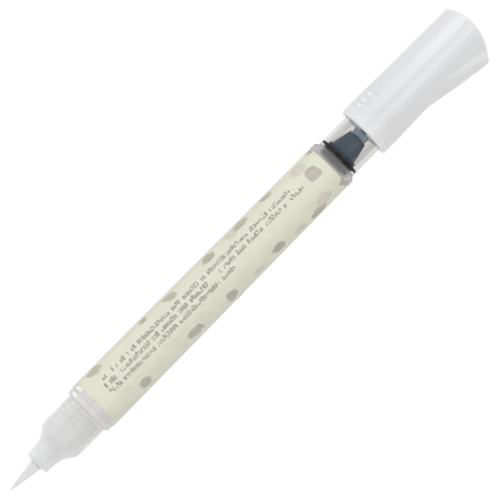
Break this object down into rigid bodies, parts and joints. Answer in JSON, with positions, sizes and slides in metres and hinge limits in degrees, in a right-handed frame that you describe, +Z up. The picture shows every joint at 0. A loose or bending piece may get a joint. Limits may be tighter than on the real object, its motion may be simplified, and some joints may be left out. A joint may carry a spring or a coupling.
{
  "type": "brush pen",
  "caption": "Push-button brush pen lying on its side: pointed brush tip, printed round barrel that is the ink tank, air pump in the tail, and a cap posted on the tail.",
  "frame": {"origin": "middle of the bounding box, on the surface that the pen lies on", "axes": "+X along the pen from brush tip to cap end, +Z up, +Y away from the side that the cap's lobe points to"},
  "size_m": [0.167, 0.0154, 0.0151],
  "materials": {
    "brush_fibre": "fine nylon filament, near white",
    "fused_nylon": "melted filament ends",
    "white_plastic": "satin white moulding",
    "milky_nose": "milky translucent polypropylene",
    "milky_cap": "milky translucent polypropylene, semi-gloss",
    "clear_barrel": "clear polypropylene with a warm grey cast",
    "clear_sleeve": "clear moulding",
    "printed_film": "pale cream print with taupe blots, satin",
    "slate_plastic": "dark slate moulding",
    "steel_blue_plastic": "steel-blue moulding",
    "dark_rubber": "smooth elastomer",
    "spring_steel": "drawn stainless wire",
    "ball_steel": "polished stainless ball"
  },
  "bodies": {
    "pen_body": {"barrel": "clear_barrel", "label_sleeve": "printed_film", "nose_cone": "milky_nose", "nose_seal": "dark_rubber", "brush_tuft": "brush_fibre", "tuft_root_collar": "fused_nylon", "brush_holder": "white_plastic", "feed_core": "white_plastic", "relay_tube": "white_plastic", "feed_retainer": "white_plastic", "return_spring": "spring_steel"},
    "pump": {"pump_piston": "slate_plastic", "piston_seal": "dark_rubber", "valve_washer": "clear_sleeve", "vent_spigot": "steel_blue_plastic", "pump_sleeve": "clear_sleeve", "push_button": "white_plastic"},
    "air_valve": {"valve_ball": "ball_steel"},
    "stir_ball": {"mixing_ball": "ball_steel"},
    "cap": {"cap_shell": "milky_cap", "cap_liner": "milky_cap"}
  },
  "joints": [
    {"name": "cap_pull", "type": "slide", "parent": "pen_body", "child": "cap", "axis": [1, 0, 0], "range_m": [0, 0.045]},
    {"name": "button_press", "type": "slide", "parent": "pen_body", "child": "pump", "axis": [-1, 0, 0], "range_m": [0, 0.0035], "stiffness_N_per_m": 250, "springref_m": -0.001, "deforming": ["return_spring"]},
    {"name": "valve_lift", "type": "slide", "parent": "pump", "child": "air_valve", "axis": [-1, 0, 0], "range_m": [0, 0.0008]},
    {"name": "ball_roll", "type": "slide", "parent": "pen_body", "child": "stir_ball", "axis": [1, 0, 0], "range_m": [-0.014, 0.046]}
  ]
}
